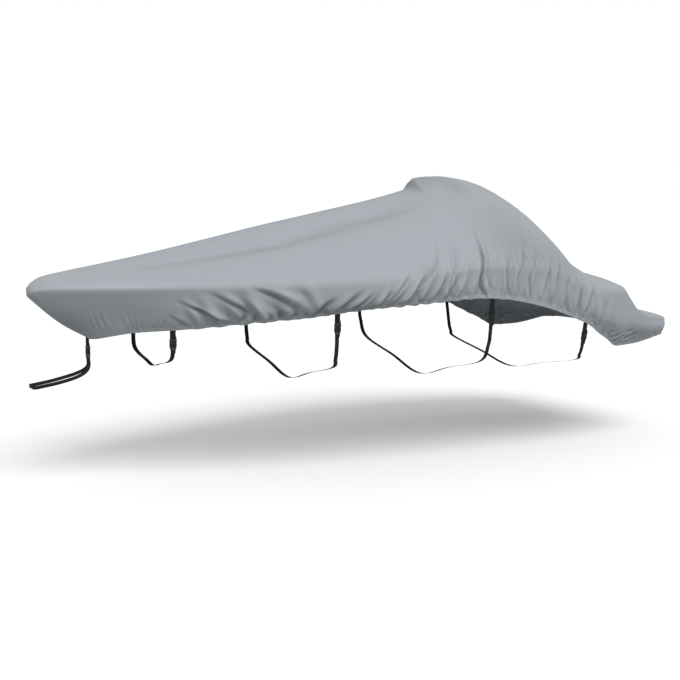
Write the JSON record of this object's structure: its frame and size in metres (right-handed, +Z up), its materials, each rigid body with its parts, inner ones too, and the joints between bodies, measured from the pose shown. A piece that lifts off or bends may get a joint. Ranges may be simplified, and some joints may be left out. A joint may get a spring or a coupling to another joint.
{
  "type": "fitted boat cover",
  "caption": "Grey-blue fitted cloth cover as draped over a V-hull runabout, with webbing belts, side-release buckles and a bow strap.",
  "frame": {"origin": "under the highest part of the cloth, on its inner face, where the boat's windscreen carries it", "axes": "+X from the bow to the stern, +Y to starboard, +Z up"},
  "size_m": [5.803, 2.2886, 1.7838],
  "materials": {
    "cover_cloth": "grey-blue coated polyester canvas, plain weave, matt",
    "webbing": "black woven polypropylene webbing, matt",
    "buckle": "black moulded acetal, satin"
  },
  "bodies": {
    "root": {"cover_cloth": "cover_cloth", "tab_bow": "webbing", "tab_fore": "webbing", "tab_middle": "webbing", "tab_screen": "webbing", "tab_stern": "webbing", "band_bow": "webbing", "belt_fore": "webbing", "belt_middle": "webbing", "belt_screen": "webbing", "belt_stern": "webbing", "socket_bow": "buckle", "plug_bow": "buckle", "socket_fore": "buckle", "plug_fore": "buckle", "socket_middle": "buckle", "plug_middle": "buckle", "socket_screen": "buckle", "plug_screen": "buckle", "socket_stern": "buckle", "plug_stern": "buckle"}
  },
  "joints": []
}
